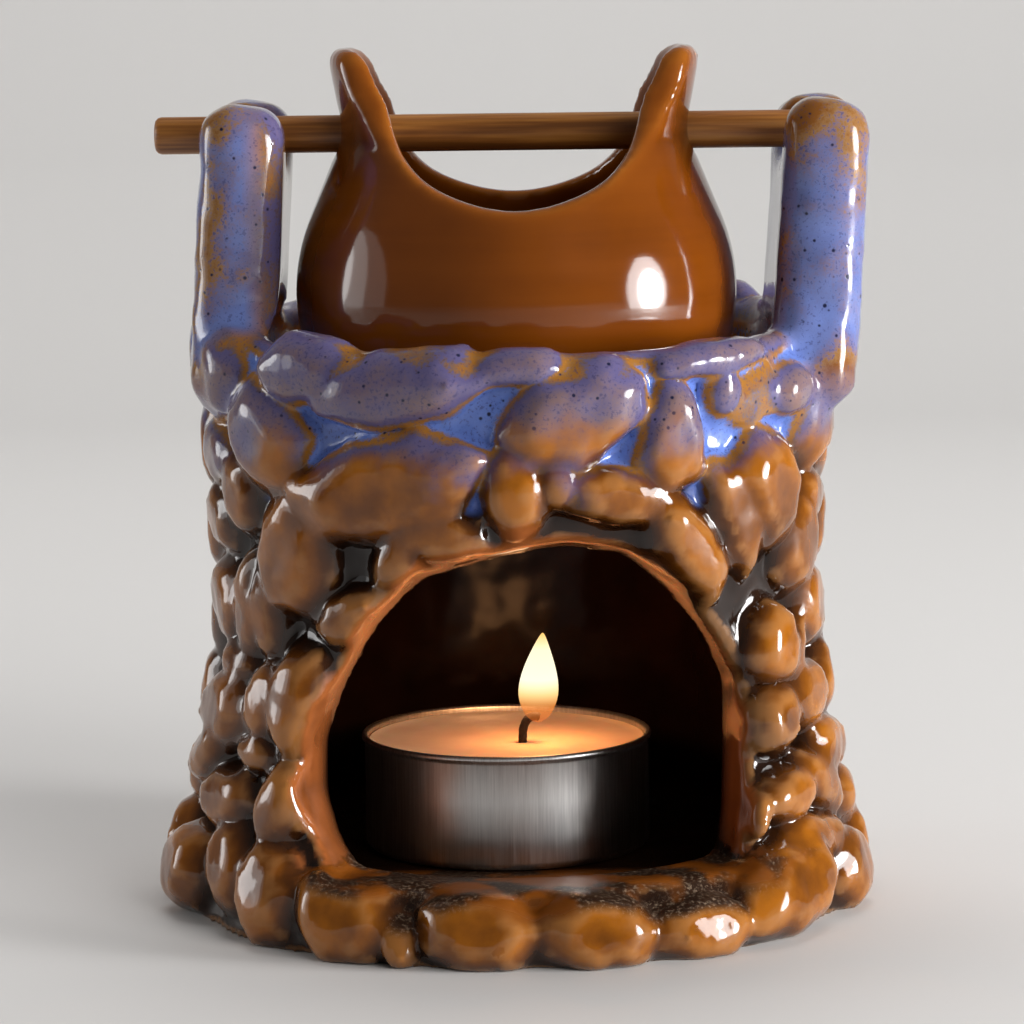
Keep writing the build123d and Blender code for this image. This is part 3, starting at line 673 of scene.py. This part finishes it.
# Wick holder
# A small round of tinned sheet steel with a crimped collar that grips the foot of the
# wick. It lies on the bottom of the cup under the wax, and keeps its CAD shape. The tin
# is pale grey, with a faint spangle.
tinplate = new_material("tinned_steel")
place = add_node(tinplate, "TexCoord", output="Object")
spangle = add_node(tinplate, "TexNoise", {"Vector": place, "Scale": 1 / (1.2 * MM), "Detail": 3.0})
tin_colour = add_node(tinplate, "ValToRGB", {"Fac": spangle}, stops=[
    (0.3, "#A09E9C"), (0.7, "#BCBAB8")])
tin_gloss = add_node(tinplate, "MapRange", {0: spangle, 1: 0.3, 2: 0.7, 3: 0.28, 4: 0.42})
tin_coat = add_node(tinplate, "BsdfPrincipled", {
    "Base Color": tin_colour, "Metallic": 1.0, "Roughness": tin_gloss})
add_node(tinplate, "OutputMaterial", {"Surface": tin_coat})
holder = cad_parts["wick_holder"]
if not holder.data.materials:
    holder.data.materials.append(tinplate)
for slot in holder.material_slots:
    slot.material = tinplate

# Flame
# Burning wax vapour: a small still teardrop round the tip of the wick, clear and orange
# at its base and white-yellow above. It is light and no matter, and gives a warm glow.
FLAME_FOOT = (2.55, -2.8, 23.0)
FLAME_TALL = 11.9
FLAME_LEAN = 0.75
flame_shape = [  # radius, share of the height
    (0.3, 0), (1.15, 0.04), (1.8, 0.10), (2.35, 0.20), (2.65, 0.31), (2.62, 0.42),
    (2.35, 0.54), (1.92, 0.66), (1.42, 0.77), (0.92, 0.87), (0.48, 0.95), (0.12, 1)]
flame = turned_piece("candle_flame", FLAME_FOOT, 48, [
    (radius, FLAME_FOOT[2] + share * FLAME_TALL) for radius, share in flame_shape])
for corner in flame.data.vertices:
    share = (corner.co.z / MM - FLAME_FOOT[2]) / FLAME_TALL
    corner.co.x += FLAME_LEAN * share * share * MM
apply_modifier(flame, "SUBSURF", levels=1, render_levels=1)
bpy.ops.object.shade_smooth()

# Glowing soot: white-hot in the middle of the flame, orange and clear near the wick.
glow = new_material("candle_flame_glow")
place = add_node(glow, "TexCoord", output="Object")
height = add_node(glow, "SeparateXYZ", {0: place}, output="Z")
share = add_node(glow, "MapRange", {
    0: height, 1: FLAME_FOOT[2] * MM, 2: (FLAME_FOOT[2] + FLAME_TALL) * MM})
flame_colour = add_node(glow, "ValToRGB", {"Fac": share}, stops=[
    (0.0, "#E06A28"), (0.18, "#F08C3C"), (0.34, "#FFD890"), (0.50, "#FFF6D8"),
    (0.82, "#FFF2C8"), (1.0, "#FFC468")])
clear = add_node(
    glow, "MapRange", {0: share, 1: 0.10, 2: 0.45, 3: 0.30, 4: 1.0},
    interpolation_type="SMOOTHSTEP")
light = add_node(glow, "Emission", {"Color": flame_colour, "Strength": 1.25})
air = add_node(glow, "BsdfTransparent")
mixed = add_node(glow, "MixShader", {0: clear, 1: air, 2: light})
add_node(glow, "OutputMaterial", {"Surface": mixed})
flame.data.materials.append(glow)
flame.visible_shadow = False
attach(flame, "tealight")
candle_light = bpy.data.lights.new("candle_light", "POINT")
candle_light.color = linear("#FFB070")[:3]
candle_light.energy = 0.012
candle_light.shadow_soft_size = 2.0 * MM
candle_lamp = bpy.data.objects.new("candle_light", candle_light)
bpy.context.scene.collection.objects.link(candle_lamp)
flame_middle = (FLAME_FOOT[0] + 0.3, FLAME_FOOT[1], FLAME_FOOT[2] + 0.5 * FLAME_TALL)
candle_lamp.location = Vector(flame_middle) * MM
candle_lamp.parent = flame
